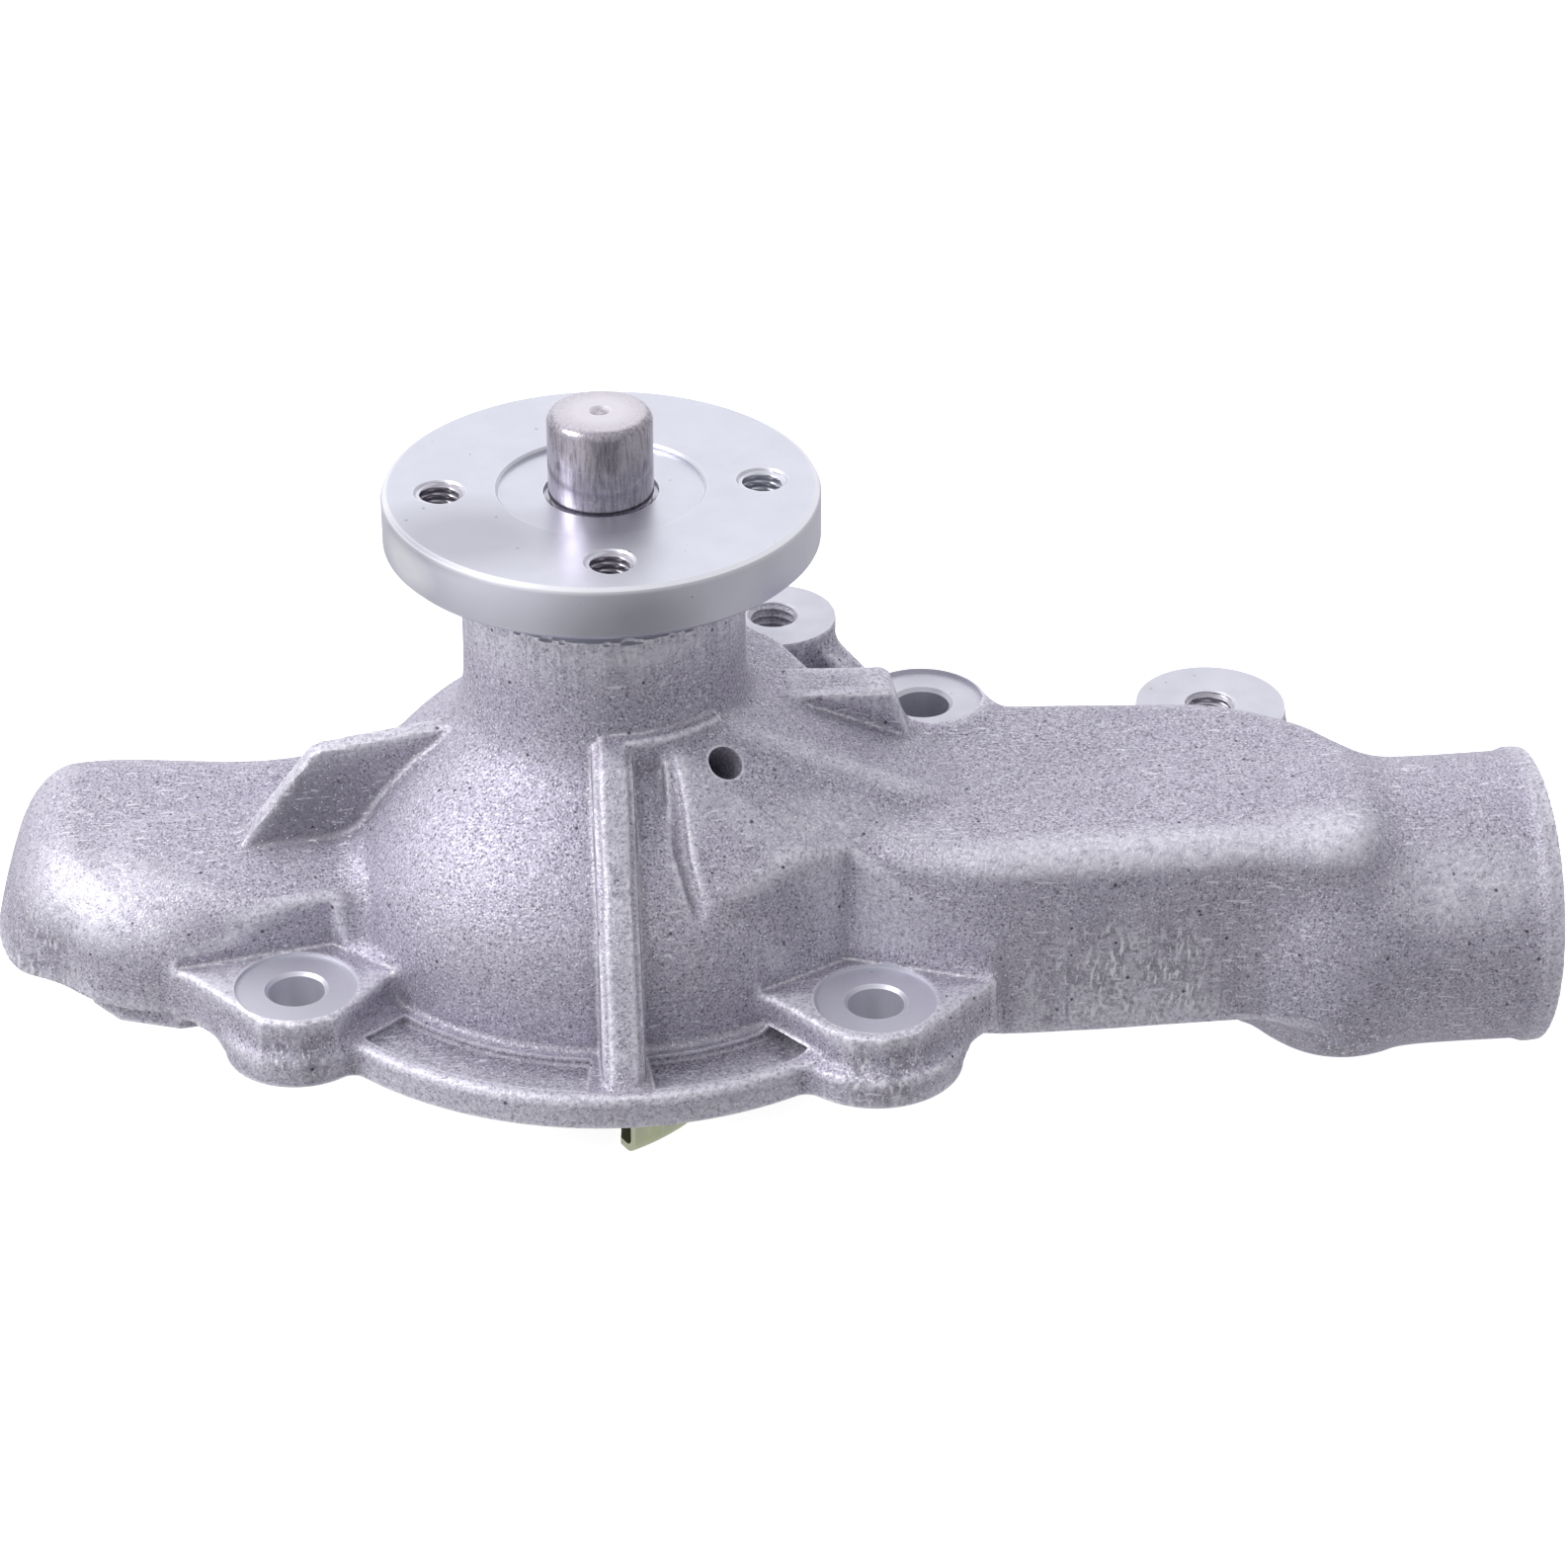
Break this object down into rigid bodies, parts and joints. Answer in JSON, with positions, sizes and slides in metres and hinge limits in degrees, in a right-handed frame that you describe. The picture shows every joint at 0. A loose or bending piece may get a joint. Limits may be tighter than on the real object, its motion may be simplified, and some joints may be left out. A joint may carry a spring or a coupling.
{
  "type": "engine coolant pump",
  "caption": "Cast aluminium engine coolant pump with a drilled fan hub on a pilot shaft, a hose neck, bolt ears and a stamped steel impeller.",
  "frame": {"origin": "where the shaft's axis meets the plane of the engine mounting face", "axes": "+Z along the shaft towards the fan hub, +X along the hose neck, away from the shaft"},
  "size_m": [0.2853, 0.1385, 0.1294],
  "materials": {
    "pump_housing": "as-cast, fine sand texture, machined at the pads",
    "bearing_outer_ring": "ground",
    "bearing_front_seal": "moulded",
    "bearing_rear_seal": "moulded",
    "seal_case": "pressed",
    "seal_bellows": "moulded",
    "seal_spring": "drawn wire",
    "seal_spring_seat": "pressed",
    "seal_carbon_ring": "lapped carbon",
    "pump_shaft": "ground",
    "fan_hub": "turned, bright",
    "impeller": "yellow-green zinc chromate on pressed steel",
    "impeller_bush": "turned",
    "ceramic_seat": "lapped ceramic",
    "ceramic_seat_cup": "moulded",
    "slinger_ring": "pressed",
    "bearing_balls": "lapped",
    "ball_cage": "moulded nylon",
    "bearing_rollers": "ground",
    "roller_cage": "moulded nylon"
  },
  "bodies": {
    "housing": {"pump_housing": "pump_housing", "bearing_outer_ring": "bearing_outer_ring", "bearing_front_seal": "bearing_front_seal", "bearing_rear_seal": "bearing_rear_seal", "seal_case": "seal_case", "seal_bellows": "seal_bellows", "seal_spring": "seal_spring", "seal_spring_seat": "seal_spring_seat", "seal_carbon_ring": "seal_carbon_ring"},
    "rotor": {"pump_shaft": "pump_shaft", "fan_hub": "fan_hub", "impeller": "impeller", "impeller_bush": "impeller_bush", "ceramic_seat": "ceramic_seat", "ceramic_seat_cup": "ceramic_seat_cup", "slinger_ring": "slinger_ring"},
    "ball_row": {"bearing_balls": "bearing_balls", "ball_cage": "ball_cage"},
    "roller_row": {"bearing_rollers": "bearing_rollers", "roller_cage": "roller_cage"}
  },
  "joints": [
    {"name": "shaft_spin", "type": "hinge", "parent": "housing", "child": "rotor", "pos_m": [0, 0, 0], "axis": [0, 0, 1], "continuous": true},
    {"name": "ball_orbit", "type": "hinge", "parent": "housing", "child": "ball_row", "pos_m": [0, 0, 0.047], "axis": [0, 0, 1], "continuous": true},
    {"name": "roller_orbit", "type": "hinge", "parent": "housing", "child": "roller_row", "pos_m": [0, 0, 0.063], "axis": [0, 0, 1], "continuous": true}
  ],
  "couplings": [
    {"joint": "ball_orbit", "follows": "shaft_spin", "ratio": 0.3412},
    {"joint": "roller_orbit", "follows": "shaft_spin", "ratio": 0.3806}
  ]
}
